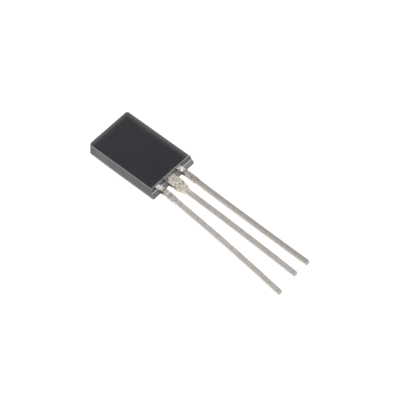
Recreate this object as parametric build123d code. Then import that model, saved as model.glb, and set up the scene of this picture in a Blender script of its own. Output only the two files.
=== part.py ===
from build123d import *
import os

# Three-lead power transistor in a long moulded package, lying on its back.
# X runs across the row of leads, the leads point along -Y, and +Z leaves the flat front face.
# The origin is the centre of the narrow flat on the back, where the part rests.

# Moulded body, measured at the parting line where the two mould halves meet
body_width = 4.9
body_length = 8.14
body_thickness = 3.9
front_depth = 1.2  # from the front flat down to the parting line
side_draft = 0.15  # how far each side of the front half leans in
closed_end_draft = 0.2  # how far the closed end of the front half leans in
lead_end_draft = 0.07  # how far the lead end of the front half leans in
back_side_slope = 1.06  # how far each side of the back half leans in
back_lead_slope = 1.82  # how far the lead end of the back half leans in
back_closed_draft = 0.25  # how far the closed end of the back half leans in
corner_radius = 0.3  # the two corners at the closed end
edge_radius = 0.1  # round the front flat
ledge_depth = 0.54  # from the front flat down to the ledge across the lead end
ledge_step = 0.06  # how far the ledge stands out
ledge_rise = 0.045  # how far the slanting top of the ledge climbs over its step

# Marks of the mould
pin_mark_diameter = 1.6
pin_mark_depth = 0.1
pin_mark_offset = 1.5  # from the middle of the back flat towards the closed end
gate_width = 1.0
gate_height = 0.3
gate_stub = 0.06

# Stamped leads
lead_pitch = 1.27
lead_width = 0.43
lead_thickness = 0.4
lead_edge_radius = 0.05
emitter_lead_length = 15.2  # each of the three outside the body
collector_lead_length = 14.9
base_lead_length = 14.9
side_shoulder_width = 0.53
side_shoulder_length = 1.35
side_narrow_start = 1.8  # from the body to where the long narrow run begins
middle_shoulder_width = 1.03
middle_shoulder_length = 0.6
middle_waist_width = 0.76
middle_waist_start = 1.35
middle_narrow_start = 1.8

# Handling has bent the leads sideways. A tip shift is how far the tip lies from straight, along X.
# A root bend of 1 makes a straight slanting lead, less starts it straighter and more ends it straighter.
emitter_tip_shift = -1.26
emitter_root_bend = 0.65
collector_tip_shift = -0.4
collector_root_bend = 0.35
base_tip_shift = -0.22
base_root_bend = 1.6
bend_steps = 5  # straight pieces that make up each long narrow run

# Die pad and bond posts, inside the body
neck_width = 0.7
neck_notch_radius = 0.12  # half-round locking notches that the moulding compound fills
pad_width = 3.3
pad_length = 3.9
post_width = 1.15
post_length = 1.35
post_inset = 0.55  # from the lead end of the body to the posts
post_to_pad = 0.4
pad_hole_diameter = 0.8
pad_hole_inset = 0.8  # from the far edge of the pad to the hole's centre

# Die and its solder
die_size = 1.5
die_thickness = 0.25
solder_border = 0.06
solder_thickness = 0.04
die_inset = 0.35  # from the near edge of the pad to the solder

# Bond wires
wire_diameter = 0.08
wire_rise = 0.4
wire_drop = 0.45
wire_bend = 0.18
ball_diameter = 0.2
ball_height = 0.06
bond_pad_spacing = 0.7  # between the two bonds on the die
bond_pad_inset = 0.45  # from the near edge of the die to the bonds

# Heights above the back
front_z = body_thickness
parting_z = front_z - front_depth
ledge_z = front_z - ledge_depth
lead_bottom_z = parting_z - lead_thickness / 2
lead_top_z = lead_bottom_z + lead_thickness
die_bottom_z = lead_top_z + solder_thickness
die_top_z = die_bottom_z + die_thickness

# Places along the body
back_flat_length = body_length - back_lead_slope - back_closed_draft
lead_end_y = -(back_flat_length / 2 + back_lead_slope)
closed_end_y = lead_end_y + body_length
post_y = lead_end_y + post_inset
pad_y = post_y + post_length + post_to_pad
die_y = pad_y + die_inset + solder_border + die_size / 2


def outline(half_width, near_y, far_y, height):
    """Face of the body at one height, with the corners of its closed end rounded."""
    corners = [(-half_width, near_y), (half_width, near_y), (half_width, far_y), (-half_width, far_y)]
    face = make_face(Polyline(*corners, close=True))
    face = fillet(face.vertices().group_by(Axis.Y)[-1], corner_radius)
    return Pos(0, 0, height) * face


def ledge_relief():
    """Space over the ledge: its slanting floor, and the lead end of the body set back behind it."""
    front_y = lead_end_y + lead_end_draft
    outer_y = lead_end_y + lead_end_draft * (1 - ledge_depth / front_depth)
    clear_y = lead_end_y - ledge_step
    floor = [(clear_y, ledge_z), (outer_y, ledge_z), (outer_y + ledge_step, ledge_z + ledge_rise)]
    wall = [(front_y + ledge_step, front_z), (clear_y, front_z)]
    side = Plane.YZ * make_face(Polyline(*floor, *wall, close=True))
    return extrude(side, amount=body_width, both=True)


def body_shell():
    """Front and back mould halves, the ledge across the lead end, and the marks of pin and gate."""
    half = body_width / 2
    parting = outline(half, lead_end_y, closed_end_y, parting_z)
    front = outline(half - side_draft, lead_end_y + lead_end_draft, closed_end_y - closed_end_draft, front_z)
    back = outline(half - back_side_slope, -back_flat_length / 2, back_flat_length / 2, 0)
    shell = loft([parting, front]) + loft([back, parting])
    shell -= ledge_relief()
    shell = fillet(shell.faces().sort_by(Axis.Z)[-1].edges(), edge_radius)
    mark = Cylinder(pin_mark_diameter / 2, pin_mark_depth, align=(Align.CENTER, Align.CENTER, Align.MIN))
    shell -= Pos(0, pin_mark_offset, 0) * mark
    stub = Box(gate_width, 2 * gate_stub, gate_height)
    return shell + Pos(0, closed_end_y, parting_z) * stub


def stamped(*points):
    """Flat piece of the lead strip with this outline."""
    face = make_face(Polyline(*points, close=True))
    return extrude(Pos(0, 0, lead_bottom_z) * face, amount=lead_thickness)


def lead_section(x, y, width):
    """Section of a lead across its length, with its long edges rounded."""
    plane = Plane(origin=(x, y, parting_z), x_dir=(1, 0, 0), z_dir=(0, -1, 0))
    return plane * RectangleRounded(width, lead_thickness, lead_edge_radius)


def outer_lead(x, widths, length, tip_shift, root_bend):
    """Part of a lead outside the body; widths pairs each distance from the body with the width there."""
    narrow_start = widths[-1][0]
    step = (length - narrow_start) / bend_steps
    stations = widths + [(narrow_start + step * (i + 1), lead_width) for i in range(bend_steps)]
    sections = []
    for distance, width in stations:
        along = distance / length
        shift = tip_shift * along * (root_bend + (1 - root_bend) * along)
        sections.append(lead_section(x + shift, lead_end_y - distance, width))
    return loft(sections, ruled=True)


def side_lead(side, length, tip_shift, root_bend):
    """Emitter or base lead, with the bond post that it ends in; side is -1 or 1."""
    x = side * lead_pitch
    half = side_shoulder_width / 2
    inner_x = x - side * post_width / 2
    outer_x = x + side * post_width / 2
    post_end = post_y + post_length
    post = stamped((inner_x, post_y), (outer_x, post_y), (outer_x, post_end), (inner_x, post_end))
    stem = stamped((x - half, lead_end_y), (x + half, lead_end_y), (x + half, post_y), (x - half, post_y))
    widths = [(0, side_shoulder_width), (side_shoulder_length, side_shoulder_width),
              (side_narrow_start, lead_width)]
    return outer_lead(x, widths, length, tip_shift, root_bend) + stem + post


def collector_lead():
    """Middle lead and the die pad that it ends in, with its locking notches and hole."""
    root = middle_shoulder_width / 2
    neck = neck_width / 2
    half = pad_width / 2
    far_y = pad_y + pad_length
    base = stamped((-root, lead_end_y), (root, lead_end_y), (root, post_y - post_to_pad / 2), (neck, post_y),
                   (neck, pad_y), (half, pad_y), (half, far_y), (-half, far_y), (-half, pad_y),
                   (-neck, pad_y), (-neck, post_y), (-root, post_y - post_to_pad / 2))
    hole = Cylinder(pad_hole_diameter / 2, 2 * lead_thickness)
    base -= Pos(0, far_y - pad_hole_inset, parting_z) * hole
    notch = Cylinder(neck_notch_radius, 2 * lead_thickness)
    notch_y = (post_y + pad_y) / 2
    base -= [Pos(-neck, notch_y, parting_z) * notch, Pos(neck, notch_y, parting_z) * notch]
    widths = [(0, middle_shoulder_width), (middle_shoulder_length, middle_shoulder_width),
              (middle_waist_start, middle_waist_width), (middle_narrow_start, lead_width)]
    return outer_lead(0, widths, collector_lead_length, collector_tip_shift, collector_root_bend) + base


def die_attach_solder():
    """Thin square of solder between the pad and the die."""
    size = die_size + 2 * solder_border
    layer = Box(size, size, solder_thickness, align=(Align.CENTER, Align.CENTER, Align.MIN))
    return Pos(0, die_y, lead_top_z) * layer


def silicon_die():
    """Square chip on its solder."""
    chip = Box(die_size, die_size, die_thickness, align=(Align.CENTER, Align.CENTER, Align.MIN))
    return Pos(0, die_y, die_bottom_z) * chip


def bond_wire(side):
    """Wire from its ball on the die, over in a low loop, and down to the bond post; side is -1 or 1."""
    start = Vector(side * bond_pad_spacing / 2, die_y - die_size / 2 + bond_pad_inset, die_top_z)
    end = Vector(side * lead_pitch, post_y + post_length / 2, lead_top_z)
    path = FilletPolyline(start, start + Vector(0, 0, wire_rise), end + Vector(0, 0, wire_drop), end,
                          radius=wire_bend)
    wire = sweep(Pos(start) * Circle(wire_diameter / 2), path)
    ball = Cylinder(ball_diameter / 2, ball_height, align=(Align.CENTER, Align.CENTER, Align.MIN))
    return wire + Pos(start) * ball


inner = {
    "emitter_lead": side_lead(-1, emitter_lead_length, emitter_tip_shift, emitter_root_bend),
    "collector_lead": collector_lead(),
    "base_lead": side_lead(1, base_lead_length, base_tip_shift, base_root_bend),
    "die_attach_solder": die_attach_solder(),
    "silicon_die": silicon_die(),
    "emitter_bond_wire": bond_wire(-1),
    "base_bond_wire": bond_wire(1),
}
molded_body = body_shell() - list(inner.values())

os.makedirs("parts", exist_ok=True)
for name, shape in {"molded_body": molded_body, **inner}.items():
    export_step(shape, f"parts/{name}.step")
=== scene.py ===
import math
from dataclasses import dataclass, replace

import bpy
from mathutils import Matrix, Vector, noise


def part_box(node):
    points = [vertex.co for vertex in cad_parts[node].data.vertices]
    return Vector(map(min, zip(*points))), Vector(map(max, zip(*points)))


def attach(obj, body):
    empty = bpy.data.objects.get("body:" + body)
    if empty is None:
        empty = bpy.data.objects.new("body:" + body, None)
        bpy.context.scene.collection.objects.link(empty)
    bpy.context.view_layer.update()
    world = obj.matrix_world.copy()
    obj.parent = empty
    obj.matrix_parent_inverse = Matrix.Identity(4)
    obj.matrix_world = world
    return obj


# Dresses the three-lead transistor: black moulding compound, tinned leads under a thin lumpy coat of solder,
# and the metals inside. Lengths are in metres. X runs across the leads, which point along -Y, and Z is up.

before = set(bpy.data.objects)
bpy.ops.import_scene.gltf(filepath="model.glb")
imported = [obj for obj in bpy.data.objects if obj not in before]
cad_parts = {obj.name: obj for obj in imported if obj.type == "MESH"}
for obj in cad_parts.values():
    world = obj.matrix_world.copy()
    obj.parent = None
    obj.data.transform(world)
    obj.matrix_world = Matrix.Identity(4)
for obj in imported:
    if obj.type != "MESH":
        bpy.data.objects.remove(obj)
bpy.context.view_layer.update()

MM = 0.001
WHITE = (1.0, 1.0, 1.0, 1.0)

# Camera, fitted to the corners of the body and the three leads in the photograph; angles in degrees
CAMERA_AZIMUTH = -32.31
CAMERA_ELEVATION = 51.96
CAMERA_ROLL = -15.505
CAMERA_TARGET = Vector((-0.5295, -8.8515, 3.9613)) * MM
CAMERA_DISTANCE = 261.37 * MM
CAMERA_LENS = 281.16
CAMERA_SENSOR = 36.0
CAMERA_NEAR = 10 * MM
CAMERA_FAR = 10.0

# Light: a pale surround that is brightest at the horizon, and one soft round lamp over the leads
HORIZON_LIGHT = 1.05
ZENITH_LIGHT = 0.38
KEY_DIRECTION = Vector((0.33, -0.62, 0.71))
KEY_DISTANCE = 300 * MM
KEY_SIZE = 60 * MM
KEY_POWER = 0.62

# Floor, just under the object
FLOOR_SIZE = 3.0
FLOOR_DROP = 0.01 * MM
FLOOR_COLOR = (0.6, 0.6, 0.6, 1.0)
FLOOR_LIFT = 0.85  # what the camera and mirrors see on top of the light on the floor

# Sizes as in the CAD model
FRONT_DEPTH = 1.2 * MM  # from the front face down to the parting line
LEDGE_DEPTH = 0.54 * MM  # from the front face down to the ledge across the lead end
LEDGE_RISE = 0.045 * MM  # how far the slanting top of the ledge climbs
EDGE_RADIUS = 0.1 * MM  # round the front face
SIDE_DRAFT = 0.15 * MM
CLOSED_END_DRAFT = 0.2 * MM
GATE_STUB = 0.06 * MM  # stands out past the closed end
LEAD_PITCH = 1.27 * MM
LEAD_EDGE_RADIUS = 0.05 * MM

# Places, from the CAD model
body_low, body_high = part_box("molded_body")
LEAD_END = body_low.y
FRONT = body_high.z
PARTING = FRONT - FRONT_DEPTH
LEDGE = FRONT - LEDGE_DEPTH
LEDGE_TOP = LEDGE + LEDGE_RISE

# Colours of the moulding compound, linear
EPOXY_DARK = (0.0084, 0.0080, 0.0145, 1.0)
EPOXY_PALE = (0.0185, 0.0176, 0.0236, 1.0)
# The two rim colours are painted highlights along the rounded rims of the front face
BROWN_RIM_HIGHLIGHT = (0.270, 0.240, 0.220, 1.0)
PALE_RIM_HIGHLIGHT = (0.430, 0.430, 0.430, 1.0)
EPOXY_WALL = (0.025, 0.025, 0.025, 1.0)
EPOXY_FOOT = (0.165, 0.137, 0.130, 1.0)
# Painted reflection: the greyer band below the ledge on the lead end, brighter to the right
PAINTED_BAND_REFLECTION = (0.056, 0.064, 0.072, 1.0)
PAINTED_BAND_REFLECTION_BRIGHT = (0.115, 0.116, 0.120, 1.0)

# Painted highlights along the rims of the front face: width and strength
LEFT_RIM_HIGHLIGHT = (0.11 * MM, 1.0)
LEAD_END_RIM_HIGHLIGHT = (0.30 * MM, 0.20)
FAR_RIM_HIGHLIGHT = (0.85 * MM, 0.70)  # right side and closed end
RIM_HIGHLIGHT_FALL = 3.0  # power of the curve by which they fall off

# Front face: fine grain, flecks and clouds, and how much each adds to its paleness
CLOUDS = {"size": 1.6 * MM, "low": 0.35, "high": 0.65}
FLECKS = {"size": 0.16 * MM, "low": 0.3, "high": 0.7, "detail": 1.0}
CLOUD_SHARE = 0.3
FLECK_SHARE = 0.3
ALONG_SHARE = 0.4  # grows from the lead end to the closed end
GRAIN_SIZE = 0.035 * MM
GRAIN_DETAIL = 2.0
GRAIN_DEPTH = 0.0012 * MM
EPOXY_ROUGHNESS = (0.30, 0.38)
EPOXY_IOR = 1.5

# Walls: the pale foot over the parting line, and its sharper fade under the line
PALE_FOOT = 0.35 * MM
PARTING_FADE = 0.15 * MM

# Lead end: polished up to the rounded edge of the front face, with a matt ledge
END_REACH = 0.15 * MM  # from its outermost edge back to where its polish ends
END_FADE = 0.02 * MM
END_GRAIN = 0.1  # share of the front face's grain
END_ROUGHNESS = 0.09
LEDGE_ROUGHNESS = (0.36, 0.50)  # at the corners, and behind the leads
LEDGE_FADE = 0.01 * MM
LEDGE_MIDDLE = (0.95 * MM, 1.1 * MM)  # half the width of the rougher middle, without and with its fade

# Painted reflection of each lead along the ledge of the lead end: its place relative to the lead, its width,
# fade and strength
# Pale tin colour of the painted reflections of the leads on the lead end
PAINTED_LEAD_REFLECTION = (0.76, 0.75, 0.70, 1.0)
LEAD_REFLECTION_SPOTS = {"size": 0.12 * MM, "low": 0.35, "high": 0.55, "detail": 1.0}
LEAD_REFLECTION_LEAST = 0.3  # between the spots
SIDE_REFLECTION_SHIFT = -0.18 * MM
SIDE_REFLECTION_WIDTH = 0.42 * MM
SIDE_REFLECTION_FADE = 0.04 * MM
SIDE_REFLECTION_STRENGTH = 0.30
MIDDLE_REFLECTION_SHIFT = -0.05 * MM
MIDDLE_REFLECTION_WIDTH = 0.60 * MM
MIDDLE_REFLECTION_FADE = 0.15 * MM
MIDDLE_REFLECTION_STRENGTH = 0.45

# Colours of the tinned leads, linear
TIN_PALE = (0.758, 0.698, 0.672, 1.0)
TIN_DULL = (0.560, 0.532, 0.486, 1.0)
TIN_BROWN = (0.33, 0.292, 0.256, 1.0)
TIN_BRIGHT = (0.86, 0.835, 0.80, 1.0)
SOLDER_CREAM = (0.90, 0.828, 0.722, 1.0)
SOLDER_BROWN = (0.34, 0.295, 0.220, 1.0)
SOLDER_BRIGHT = (0.96, 0.94, 0.87, 1.0)
ROOT_TIN = (0.70, 0.71, 0.67, 1.0)
CUT_SIDE = (0.47, 0.440, 0.412, 1.0)
CUT_TIP = (0.33, 0.305, 0.295, 1.0)
# Painted shade on the sides of each lead right next to the body
ROOT_SIDE_SHADE = (0.030, 0.028, 0.026, 1.0)
# Colour that darkens the flat tops of the leads
DARKER_TOP = (0.40, 0.362, 0.325, 1.0)

# Patterns of the tin and where they show; a pair of facings is where a face starts to count and fully counts
MOTTLE = {"size": 0.34 * MM, "low": 0.35, "high": 0.65, "detail": 4.0, "roughness": 0.65}
BLOTCHES = {"size": 0.22 * MM, "low": 0.37, "high": 0.54}
LUMPS = {"size": 0.16 * MM, "low": 0.42, "high": 0.62, "roughness": 0.7}
GLINTS = {"size": 0.13 * MM, "low": 0.60, "high": 0.68, "detail": 1.0}
LUMP_DEPTH = 0.009 * MM
RUN_LUMPS = 0.12  # share of the lumps that stays along the run
ROOT_STAIN = 0.5
# Painted shade at the root of the side leads reaches this far from the body
ROOT_SHADE_LENGTH = 0.35 * MM
# Painted shade on the sides of each lead next to the body:
ROOT_SIDE_SHADE_LENGTH = (0.22 * MM, 0.40 * MM)  # full up to the first, gone at the second
CUT_FACING = (0.5, 0.9)
TOP_FACING = (0.90, 0.99)
DARKER_TOP_FADE = 0.06 * MM
DARKER_TOP_SLANT = 0.0151  # the base lead's slant, which its darker top follows
ROOT_ROUGHNESS = 0.32
RUN_ROUGHNESS = (0.38, 0.28)
SHOULDER_ROUGHNESS = (0.45, 0.25)
TIN_METALLIC = 0.75

# Solder coat over the leads; distances along a lead are from the body
COAT_THICKNESS = 0.006 * MM
RUN_LUMP = 0.008 * MM
RUN_LUMP_SIZE = 0.60 * MM
SHOULDER_LUMP = 0.035 * MM
SHOULDER_LUMP_SIZE = 0.22 * MM
SHOULDER_LUMPS_BEGIN = (0.3 * MM, 0.9 * MM)
SHOULDER_END = 1.9 * MM
NOISE_LIFT = 0.5  # on noise from -1 to 1, so that most of it stands out
ROOT_FADE = 0.6 * MM
FADE = 0.25 * MM
BURIED = 0.012 * MM  # how far the coat's two ends dip into the lead
TIP_BARE = 0.02 * MM
FINE_STEP = 0.05 * MM
COARSE_STEP = 0.12 * MM
CORNER_STEPS = 4
FLAT_STEPS = 7
SAME_DIRECTION = 0.999
STATION_DIGITS = 3  # decimals of a millimetre by which the vertices of one section agree
STATION_TOLERANCE = 0.001 * MM
SECTION_POINTS = 8  # a whole section has at least this many

# Inner pieces: linear colour, roughness and size of the uneven polish
SILICON = ((0.20, 0.21, 0.24, 1.0), 0.2, 0.3 * MM)
DIE_SOLDER = ((0.55, 0.55, 0.57, 1.0), 0.5, 0.1 * MM)
GOLD = ((0.85, 0.62, 0.25, 1.0), 0.25, 0.05 * MM)
POLISH_RANGE = {"low": 0.3, "high": 0.7}
POLISH_CHANGE = 0.05

# A Mix node's kind of data, with the places of its factor and its two inputs, and of its output
MIX_OF_COLORS = ("RGBA", (0, 6, 7), 2)
MIX_OF_NUMBERS = ("FLOAT", (0, 2, 3), 0)


@dataclass
class Finish:
    """Solder on one lead. Each pair is where something starts and is complete, as distances from the body."""

    pale: tuple
    brown: tuple
    bright: tuple
    metallic: float
    bumps: tuple  # fine lumps in the material
    stains: tuple
    plain: tuple  # the run's plain tin, after the shoulder's solder
    root_shade: float  # how much painted shade, in the brown, shows right at the body
    coat_start: float
    lump_share: float  # share of SHOULDER_LUMP that the coat's lumps reach
    top_darkening: float  # strength of the darkening of the flat top
    top_darkening_from: float = -3 * MM  # X at which that darkening starts, left of every lead unless given


SIDE_FINISH = Finish(
    pale=TIN_PALE,
    brown=TIN_BROWN,
    bright=TIN_BRIGHT,
    metallic=TIN_METALLIC,
    bumps=(0.62 * MM, 0.85 * MM),
    stains=(0.25 * MM, 0.60 * MM),
    plain=(1.3 * MM, 3.2 * MM),
    root_shade=0.85,
    coat_start=0.30 * MM,
    lump_share=0.45,
    top_darkening=0.0,
)
MIDDLE_FINISH = Finish(
    pale=SOLDER_CREAM,
    brown=SOLDER_BROWN,
    bright=SOLDER_BRIGHT,
    metallic=0.50,
    bumps=(-0.10 * MM, 0.80 * MM),
    stains=(-0.20 * MM, -0.10 * MM),
    plain=(1.5 * MM, 2.3 * MM),
    root_shade=0.0,
    coat_start=0.0,
    lump_share=1.0,
    top_darkening=0.10,
)
FINISHES = {
    "emitter_lead": SIDE_FINISH,
    "collector_lead": MIDDLE_FINISH,
    "base_lead": replace(SIDE_FINISH, lump_share=0.6, top_darkening=0.52, top_darkening_from=1.10 * MM),
}


def direction(azimuth, elevation):
    """Unit vector from the object to a camera at this azimuth and elevation, in degrees."""
    a, e = math.radians(azimuth), math.radians(elevation)
    return Vector((math.sin(a) * math.cos(e), -math.cos(a) * math.cos(e), math.sin(e)))


def blend(value, start, end):
    """0 before start, 1 after end, and a smooth step between them."""
    t = min(max((value - start) / (end - start), 0.0), 1.0)
    return t * t * (3 - 2 * t)


class Nodes:
    """A material's node tree, with one short method for each kind of node that the materials here use.

    A value given to a method is a socket, a number or, for a colour, a tuple.
    """

    def __init__(self, name):
        self.made = bpy.data.materials.new(name)
        self.made.use_nodes = True
        self.tree = self.made.node_tree
        self.shader = self.tree.nodes["Principled BSDF"]
        self.place = self.tree.nodes.new("ShaderNodeTexCoord").outputs["Object"]

    def give(self, socket, value):
        """Links a socket to another one, or sets it to a number or colour."""
        if isinstance(value, bpy.types.NodeSocket):
            self.tree.links.new(value, socket)
        else:
            socket.default_value = value

    def put(self, inputs):
        """Gives the shader's inputs of these names their values."""
        for name, value in inputs.items():
            self.give(self.shader.inputs[name], value)

    def noise(self, size, detail=3.0, roughness=0.55):
        """Noise from 0 to 1 whose features are about this size."""
        node = self.tree.nodes.new("ShaderNodeTexNoise")
        node.inputs["Scale"].default_value = 1 / size
        node.inputs["Detail"].default_value = detail
        node.inputs["Roughness"].default_value = roughness
        self.give(node.inputs["Vector"], self.place)
        return node.outputs["Fac"]

    def patches(self, low, high, **pattern):
        """Noise that is cut off below low and above high and stretched to run from 0 to 1."""
        return self.spread(self.noise(**pattern), low, high)

    def part(self, vector, name):
        """One of the parts X, Y and Z of a vector."""
        node = self.tree.nodes.new("ShaderNodeSeparateXYZ")
        self.give(node.inputs[0], vector)
        return node.outputs[name]

    def axis(self, name):
        """One coordinate of the surface, X, Y or Z, in metres."""
        return self.part(self.place, name)

    def facing(self, name):
        """One coordinate of the surface's direction, X, Y or Z."""
        return self.part(self.tree.nodes.new("ShaderNodeNewGeometry").outputs["Normal"], name)

    def spread(self, value, low, high, start=0.0, end=1.0, smooth=False):
        """value carried from the range low to high over to the range start to end."""
        node = self.tree.nodes.new("ShaderNodeMapRange")
        node.interpolation_type = "SMOOTHSTEP" if smooth else "LINEAR"
        for socket, given in zip(node.inputs, (value, low, high, start, end)):
            self.give(socket, given)
        return node.outputs["Result"]

    def between(self, value, low, high, fade):
        """1 from low to high, and 0 further than fade outside them."""
        above = self.spread(value, low - fade, low)
        return self.math("MULTIPLY", above, self.spread(value, high + fade, high))

    def math(self, operation, first, *others):
        """Values joined one after the other by an operation such as ADD, POWER or MAXIMUM."""
        result = first
        for other in others:
            node = self.tree.nodes.new("ShaderNodeMath")
            node.operation = operation
            self.give(node.inputs[0], result)
            self.give(node.inputs[1], other)
            result = node.outputs[0]
        return result

    def unsigned(self, value):
        """value without its sign."""
        return self.math("MAXIMUM", value, self.math("MULTIPLY", value, -1.0))

    def blended(self, mix_of, factor, a, b):
        """a where factor is 0 and b where it is 1; mix_of says which sockets of a Mix node are used."""
        kind, inputs, output = mix_of
        node = self.tree.nodes.new("ShaderNodeMix")
        node.data_type = kind
        for index, value in zip(inputs, (factor, a, b)):
            self.give(node.inputs[index], value)
        return node.outputs[output]

    def mix(self, factor, a, b):
        """Colour a where factor is 0 and b where it is 1."""
        return self.blended(MIX_OF_COLORS, factor, a, b)

    def mix_value(self, factor, a, b):
        """Number a where factor is 0 and b where it is 1."""
        return self.blended(MIX_OF_NUMBERS, factor, a, b)

    def bump(self, height, depth):
        """Raises the surface by up to depth where height is 1."""
        node = self.tree.nodes.new("ShaderNodeBump")
        node.inputs["Distance"].default_value = depth
        self.give(node.inputs["Height"], height)
        self.put({"Normal": node.outputs["Normal"]})


def rim_highlight(nodes, name, edge, width, strength):
    """Painted highlight on this rim of the front face: as strong as given at the edge, gone its width further
    in.
    """
    inner = edge - math.copysign(width, edge)
    near = nodes.math("POWER", nodes.spread(nodes.axis(name), inner, edge), RIM_HIGHLIGHT_FALL)
    return nodes.math("MULTIPLY", near, strength)


def front_color(nodes, paleness):
    """Black front face, with painted highlights on its rims: brown at its right and closed end, pale at its
    left and lead end.
    """
    right = body_high.x - SIDE_DRAFT
    closed_end = body_high.y - GATE_STUB - CLOSED_END_DRAFT
    on_front = nodes.spread(nodes.axis("Z"), FRONT - EDGE_RADIUS, FRONT - EDGE_RADIUS / 2)
    near_end = LEAD_END + END_REACH
    # Painted highlights along the rims: brown on the right and closed end, pale on the left and lead end
    brown = nodes.math("MAXIMUM", rim_highlight(nodes, "X", right, *FAR_RIM_HIGHLIGHT), rim_highlight(nodes, "Y", closed_end, *FAR_RIM_HIGHLIGHT))
    pale = nodes.math("MAXIMUM", rim_highlight(nodes, "X", -right, *LEFT_RIM_HIGHLIGHT), rim_highlight(nodes, "Y", near_end, *LEAD_END_RIM_HIGHLIGHT))
    face = nodes.mix(paleness, EPOXY_DARK, EPOXY_PALE)
    face = nodes.mix(nodes.math("MULTIPLY", brown, on_front), face, BROWN_RIM_HIGHLIGHT)
    return nodes.mix(nodes.math("MULTIPLY", pale, on_front), face, PALE_RIM_HIGHLIGHT)


def above_parting(nodes):
    """1 over the parting line, fading to 0 just under it."""
    return nodes.spread(nodes.axis("Z"), PARTING - PARTING_FADE, PARTING)


def wall_color(nodes):
    """Side walls: black, with a pale foot at the parting line."""
    near_parting = nodes.spread(nodes.axis("Z"), PARTING + PALE_FOOT, PARTING, smooth=True)
    foot = nodes.math("MULTIPLY", near_parting, above_parting(nodes))
    return nodes.mix(foot, EPOXY_WALL, EPOXY_FOOT)


def lead_reflection(nodes, center, width, fade, strength):
    """Strength of the painted reflection of a lead along the ledge round this X."""
    across = nodes.between(nodes.axis("X"), center - width / 2, center + width / 2, fade)
    upward = nodes.between(nodes.axis("Z"), LEDGE, LEDGE_TOP, fade)
    return nodes.math("MULTIPLY", across, upward, strength)


def lead_reflections(nodes):
    """Strength of the painted reflections of all three leads along the ledge, in spots."""
    side = (SIDE_REFLECTION_WIDTH, SIDE_REFLECTION_FADE, SIDE_REFLECTION_STRENGTH)
    middle = (MIDDLE_REFLECTION_WIDTH, MIDDLE_REFLECTION_FADE, MIDDLE_REFLECTION_STRENGTH)
    left_one = lead_reflection(nodes, -LEAD_PITCH + SIDE_REFLECTION_SHIFT, *side)
    middle_one = lead_reflection(nodes, MIDDLE_REFLECTION_SHIFT, *middle)
    right_one = lead_reflection(nodes, LEAD_PITCH + SIDE_REFLECTION_SHIFT, *side)
    spots = nodes.mix_value(nodes.patches(**LEAD_REFLECTION_SPOTS), LEAD_REFLECTION_LEAST, 1.0)
    return nodes.math("MULTIPLY", nodes.math("MAXIMUM", left_one, middle_one, right_one), spots)


def end_color(nodes, body_color):
    """Lead end: as the body above the ledge, with painted reflections of the leads along it, and a greyer
    band of painted reflection below it.
    """
    under = nodes.spread(nodes.axis("Z"), LEDGE + END_FADE, LEDGE)
    in_reflection_band = nodes.math("MULTIPLY", under, above_parting(nodes))
    across = nodes.spread(nodes.axis("X"), -body_high.x, body_high.x)
    # The greyer band under the ledge is painted reflection, brighter to the right
    banded = nodes.mix(in_reflection_band, body_color, nodes.mix(across, PAINTED_BAND_REFLECTION, PAINTED_BAND_REFLECTION_BRIGHT))
    # Painted reflections of the leads, in a pale tin colour, along the ledge
    return nodes.mix(lead_reflections(nodes), banded, PAINTED_LEAD_REFLECTION)


def end_roughness(nodes):
    """Polished lead end; its slanting ledge is a little matt at the corners and more so behind the leads."""
    above = nodes.spread(nodes.axis("Z"), LEDGE - 2 * LEDGE_FADE, LEDGE - LEDGE_FADE)
    on_ledge = nodes.math("MULTIPLY", above, nodes.spread(nodes.axis("Z"), LEDGE_TOP + LEDGE_FADE, LEDGE_TOP))
    middle = nodes.spread(nodes.unsigned(nodes.axis("X")), *reversed(LEDGE_MIDDLE))
    return nodes.mix_value(on_ledge, END_ROUGHNESS, nodes.mix_value(middle, *LEDGE_ROUGHNESS))


def epoxy_material():
    """Black moulding compound: fine grain, faint clouds, painted highlights on its rims, and a polished lead
    end with painted reflections.
    """
    nodes = Nodes("epoxy")
    clouds = nodes.patches(**CLOUDS)
    along = nodes.spread(nodes.axis("Y"), LEAD_END, body_high.y)
    paleness = nodes.math(
        "ADD",
        nodes.math("MULTIPLY", clouds, CLOUD_SHARE),
        nodes.math("MULTIPLY", along, ALONG_SHARE),
        nodes.math("MULTIPLY", nodes.patches(**FLECKS), FLECK_SHARE),
    )
    on_wall = nodes.spread(nodes.axis("Z"), FRONT - EDGE_RADIUS, FRONT - 2 * EDGE_RADIUS)
    body_color = nodes.mix(on_wall, front_color(nodes, paleness), wall_color(nodes))
    at_end = nodes.spread(nodes.axis("Y"), LEAD_END + END_REACH + END_FADE, LEAD_END + END_REACH)
    rough = nodes.mix_value(clouds, *EPOXY_ROUGHNESS)
    nodes.put({
        "Base Color": nodes.mix(at_end, body_color, end_color(nodes, body_color)),
        "Roughness": nodes.mix_value(at_end, rough, end_roughness(nodes)),
        "IOR": EPOXY_IOR,
    })
    grain = nodes.noise(GRAIN_SIZE, detail=GRAIN_DETAIL)
    nodes.bump(nodes.math("MULTIPLY", grain, nodes.mix_value(at_end, 1.0, END_GRAIN)), GRAIN_DEPTH)
    return nodes.made


def run_color(nodes, mottle, on_cut):
    """Long run of a lead: mottled tin on top, duller on its cut sides and darker on its cut tip."""
    at_tip = nodes.spread(nodes.facing("Y"), *(-facing for facing in CUT_FACING))
    sides = nodes.mix(on_cut, nodes.mix(mottle, TIN_DULL, TIN_PALE), CUT_SIDE)
    return nodes.mix(at_tip, sides, CUT_TIP)


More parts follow.
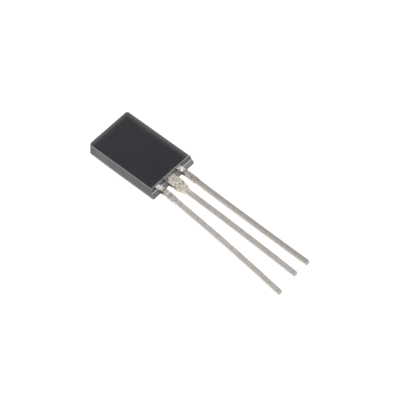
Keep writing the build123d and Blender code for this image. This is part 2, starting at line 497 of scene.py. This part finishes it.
def shoulder_color(nodes, away, stained, finish):
    """Shoulder of a lead: solder with brown blotches and bright glints, its root and the painted shade at the
    body as the finish says.
    """
    solder = nodes.mix(nodes.patches(**BLOTCHES), finish.brown, finish.pale)
    solder = nodes.mix(nodes.patches(**GLINTS), solder, finish.bright)
    solder = nodes.mix(stained, nodes.mix(ROOT_STAIN, ROOT_TIN, solder), solder)
    # Painted shade: the brown darkens the lead right at the body, as much as the finish says
    root_shade_mask = nodes.spread(away, ROOT_SHADE_LENGTH, 0.0, 0.0, finish.root_shade)
    return nodes.mix(root_shade_mask, solder, finish.brown)


def top_darkening_strength(nodes, away, stained, finish):
    """Darkening of the flat top of a lead, past its clean root, from the X that the finish gives to the
    right.
    """
    on_top = nodes.spread(nodes.facing("Z"), *TOP_FACING, 0.0, finish.top_darkening)
    straightened = nodes.math("ADD", nodes.axis("X"), nodes.math("MULTIPLY", away, DARKER_TOP_SLANT))
    right_of_start = nodes.spread(straightened, finish.top_darkening_from, finish.top_darkening_from + DARKER_TOP_FADE)
    return nodes.math("MULTIPLY", on_top, stained, right_of_start)


def tin_material(name, finish):
    """Tinned lead: mottled along its run, lumpy and stained on its shoulder, smoother and with painted shade
    on its sides close to the body.
    """
    nodes = Nodes(name)
    away = nodes.math("SUBTRACT", LEAD_END, nodes.axis("Y"))
    shoulder = nodes.spread(away, *reversed(finish.plain), smooth=True)
    bumpy = nodes.spread(away, *finish.bumps)
    stained = nodes.spread(away, *finish.stains)
    on_cut = nodes.spread(nodes.unsigned(nodes.facing("X")), *CUT_FACING)
    mottle = nodes.patches(**MOTTLE)
    lumps = nodes.patches(**LUMPS)
    run = run_color(nodes, mottle, on_cut)
    color = nodes.mix(shoulder, run, shoulder_color(nodes, away, stained, finish))
    # The flat top made darker, most on the base lead
    color = nodes.mix(top_darkening_strength(nodes, away, stained, finish), color, DARKER_TOP)
    # Painted shade on the sides of the lead next to the body
    in_root_side_shade = nodes.math("MULTIPLY", on_cut, nodes.spread(away, *reversed(ROOT_SIDE_SHADE_LENGTH)))
    run_roughness = nodes.mix_value(mottle, *RUN_ROUGHNESS)
    worn = nodes.mix_value(shoulder, run_roughness, nodes.mix_value(lumps, *SHOULDER_ROUGHNESS))
    metallic = finish.metallic
    if metallic != TIN_METALLIC:
        metallic = nodes.mix_value(shoulder, TIN_METALLIC, metallic)
    nodes.put({
        "Base Color": nodes.mix(in_root_side_shade, color, ROOT_SIDE_SHADE),
        "Metallic": metallic,
        "Roughness": nodes.mix_value(bumpy, ROOT_ROUGHNESS, worn),
    })
    nodes.bump(nodes.math("MULTIPLY", lumps, nodes.mix_value(shoulder, RUN_LUMPS, 1.0), bumpy), LUMP_DEPTH)
    return nodes.made


def metal_material(name, color, roughness, grain_size):
    """Metal with a fine uneven polish."""
    nodes = Nodes(name)
    polish = nodes.patches(size=grain_size, **POLISH_RANGE)
    uneven = nodes.mix_value(polish, roughness - POLISH_CHANGE, roughness + POLISH_CHANGE)
    nodes.put({"Base Color": color, "Metallic": 1.0, "Roughness": uneven})
    return nodes.made


def dress(node, made):
    """Gives a CAD node this material."""
    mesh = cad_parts[node].data
    mesh.materials.clear()
    mesh.materials.append(made)


def lead_stations(node):
    """Sections of the bare lead, read from its CAD mesh: distance from the body, centre and half width."""
    sections = {}
    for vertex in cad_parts[node].data.vertices:
        away = LEAD_END - vertex.co.y
        if away > -STATION_TOLERANCE:
            sections.setdefault(round(away / MM, STATION_DIGITS), []).append(vertex.co.x)
    whole = [(away, xs) for away, xs in sorted(sections.items()) if len(xs) >= SECTION_POINTS]
    return [(away * MM, (min(xs) + max(xs)) / 2, (max(xs) - min(xs)) / 2) for away, xs in whole]


def at_station(stations, away):
    """Centre and half width of the lead at this distance from the body."""
    for (a, center_a, half_a), (b, center_b, half_b) in zip(stations, stations[1:]):
        if a <= away <= b:
            t = (away - a) / (b - a)
            return center_a + (center_b - center_a) * t, half_a + (half_b - half_a) * t
    return stations[-1][1:]


def rounded_section(half_x, half_z, radius):
    """Points round a rounded rectangle, each with its outward direction."""
    arcs = []
    for corner, (side_x, side_z) in enumerate(((1, 1), (-1, 1), (-1, -1), (1, -1))):
        center = Vector((side_x * (half_x - radius), side_z * (half_z - radius)))
        for i in range(CORNER_STEPS + 1):
            angle = math.pi / 2 * (corner + i / CORNER_STEPS)
            out = Vector((math.cos(angle), math.sin(angle)))
            arcs.append((center + out * radius, out))
    points = []
    for (here, out), (there, next_out) in zip(arcs, arcs[1:] + arcs[:1]):
        steps = FLAT_STEPS if out.dot(next_out) > SAME_DIRECTION else 1
        points += [(here.lerp(there, i / steps), out) for i in range(steps)]
    return points


def coat_rows(start, end):
    """Distances from the body at which the coat has its sections, closer together on the shoulder."""
    rows = [start]
    while rows[-1] < end:
        on_shoulder = rows[-1] < SHOULDER_END + 2 * FADE
        rows.append(rows[-1] + (FINE_STEP if on_shoulder else COARSE_STEP))
    return rows[:-1] + [end]


def coat_thickness(place, away, end, finish):
    """Solder on the lead at this place: lumpy on the shoulder, thin along the run, none at either end."""
    shoulder = 1 - blend(away, SHOULDER_END - FADE, SHOULDER_END + FADE)
    shoulder *= blend(away, *SHOULDER_LUMPS_BEGIN)
    lump = SHOULDER_LUMP * (NOISE_LIFT + noise.noise(place / SHOULDER_LUMP_SIZE))
    ripple = RUN_LUMP * (NOISE_LIFT + noise.noise(place / RUN_LUMP_SIZE))
    full = COAT_THICKNESS + max(finish.lump_share * shoulder * lump + ripple, 0.0)
    there = blend(away, finish.coat_start, finish.coat_start + ROOT_FADE) * blend(end - away, 0.0, FADE)
    return (full + BURIED) * there - BURIED


def coat_rings(node, finish):
    """Rings of points round the lead, from its root to just before its tip, that the coat passes through."""
    stations = lead_stations(node)
    low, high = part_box(node)
    middle_z, half_z = (low.z + high.z) / 2, (high.z - low.z) / 2
    end = stations[-1][0] - TIP_BARE
    rings = []
    for away in coat_rows(finish.coat_start, end):
        center, half_x = at_station(stations, away)
        ring = []
        for point, out in rounded_section(half_x, half_z, LEAD_EDGE_RADIUS):
            place = Vector((center + point.x, LEAD_END - away, middle_z + point.y))
            ring.append(place + Vector((out.x, 0, out.y)) * coat_thickness(place, away, end, finish))
        rings.append(ring)
    return rings


def skin_faces(rows, around):
    """Faces that join each ring of points to the next, and close the first and the last one."""
    faces = []
    for row in range(rows - 1):
        a, b = row * around, (row + 1) * around
        for i in range(around):
            j = (i + 1) % around
            faces.append((a + i, b + i, b + j, a + j))
    faces.append(tuple(range(around)))
    faces.append(tuple(reversed(range((rows - 1) * around, rows * around))))
    return faces


def coat_lead(node, made, finish):
    """Coat of solder over one lead, which shows its lumps in the outline."""
    rings = coat_rings(node, finish)
    points = [point for ring in rings for point in ring]
    mesh = bpy.data.meshes.new(node + "_coat")
    mesh.from_pydata(points, [], skin_faces(len(rings), len(rings[0])))
    mesh.shade_smooth()
    mesh.materials.append(made)
    coat = bpy.data.objects.new(node + "_coat", mesh)
    bpy.context.scene.collection.objects.link(coat)
    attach(coat, "root")


def add_camera():
    """Camera at the photograph's viewing angle."""
    back = direction(CAMERA_AZIMUTH, CAMERA_ELEVATION)
    turn = Matrix.Rotation(math.radians(CAMERA_ROLL), 3, "Z")
    camera = bpy.data.objects.new("camera", bpy.data.cameras.new("camera"))
    bpy.context.scene.collection.objects.link(camera)
    camera.location = CAMERA_TARGET + back * CAMERA_DISTANCE
    camera.rotation_euler = (back.to_track_quat("Z", "Y").to_matrix() @ turn).to_euler()
    camera.data.lens = CAMERA_LENS
    camera.data.sensor_width = CAMERA_SENSOR
    camera.data.clip_start = CAMERA_NEAR
    camera.data.clip_end = CAMERA_FAR
    bpy.context.scene.camera = camera


def floor_material():
    """Pale matt floor that shows white to the camera and in mirrors, and keeps the object's shadow."""
    nodes = Nodes("floor")
    rays = nodes.tree.nodes.new("ShaderNodeLightPath").outputs
    seen = nodes.math("MAXIMUM", rays["Is Glossy Ray"], rays["Is Transmission Ray"], rays["Is Camera Ray"])
    nodes.put({
        "Base Color": FLOOR_COLOR,
        "Roughness": 1.0,
        "Specular IOR Level": 0.0,
        "Emission Color": WHITE,
        "Emission Strength": nodes.math("MULTIPLY", seen, FLOOR_LIFT),
    })
    return nodes.made


def add_floor():
    """Large floor just under the object."""
    half = FLOOR_SIZE / 2
    corners = [(-half, -half, 0), (half, -half, 0), (half, half, 0), (-half, half, 0)]
    mesh = bpy.data.meshes.new("floor")
    mesh.from_pydata(corners, [], [(0, 1, 2, 3)])
    mesh.materials.append(floor_material())
    floor = bpy.data.objects.new("floor", mesh)
    floor.location.z = -FLOOR_DROP
    bpy.context.scene.collection.objects.link(floor)


def add_world():
    """Pale surround, white at the horizon and greyer overhead."""
    world = bpy.data.worlds.new("world")
    world.use_nodes = True
    tree = world.node_tree
    place = tree.nodes.new("ShaderNodeTexCoord")
    split = tree.nodes.new("ShaderNodeSeparateXYZ")
    strength = tree.nodes.new("ShaderNodeMapRange")
    strength.inputs["To Min"].default_value = HORIZON_LIGHT
    strength.inputs["To Max"].default_value = ZENITH_LIGHT
    tree.links.new(place.outputs["Generated"], split.inputs[0])
    tree.links.new(split.outputs["Z"], strength.inputs["Value"])
    tree.links.new(strength.outputs["Result"], tree.nodes["Background"].inputs["Strength"])
    tree.nodes["Background"].inputs["Color"].default_value = WHITE
    bpy.context.scene.world = world


def add_key():
    """Soft round lamp over the leads."""
    data = bpy.data.lights.new("key", "AREA")
    data.shape = "DISK"
    data.size = KEY_SIZE
    data.energy = KEY_POWER
    key = bpy.data.objects.new("key", data)
    toward = KEY_DIRECTION.normalized()
    key.location = toward * KEY_DISTANCE
    key.rotation_euler = toward.to_track_quat("Z", "Y").to_euler()
    bpy.context.scene.collection.objects.link(key)


dress("molded_body", epoxy_material())
for lead, finish in FINISHES.items():
    tin = tin_material("tin_" + lead, finish)
    dress(lead, tin)
    coat_lead(lead, tin, finish)
dress("silicon_die", metal_material("silicon", *SILICON))
dress("die_attach_solder", metal_material("die_solder", *DIE_SOLDER))
gold = metal_material("gold_wire", *GOLD)
for wire in ("emitter_bond_wire", "base_bond_wire"):
    dress(wire, gold)

add_camera()
add_floor()
add_world()
add_key()

bpy.context.scene.view_settings.view_transform = "Standard"
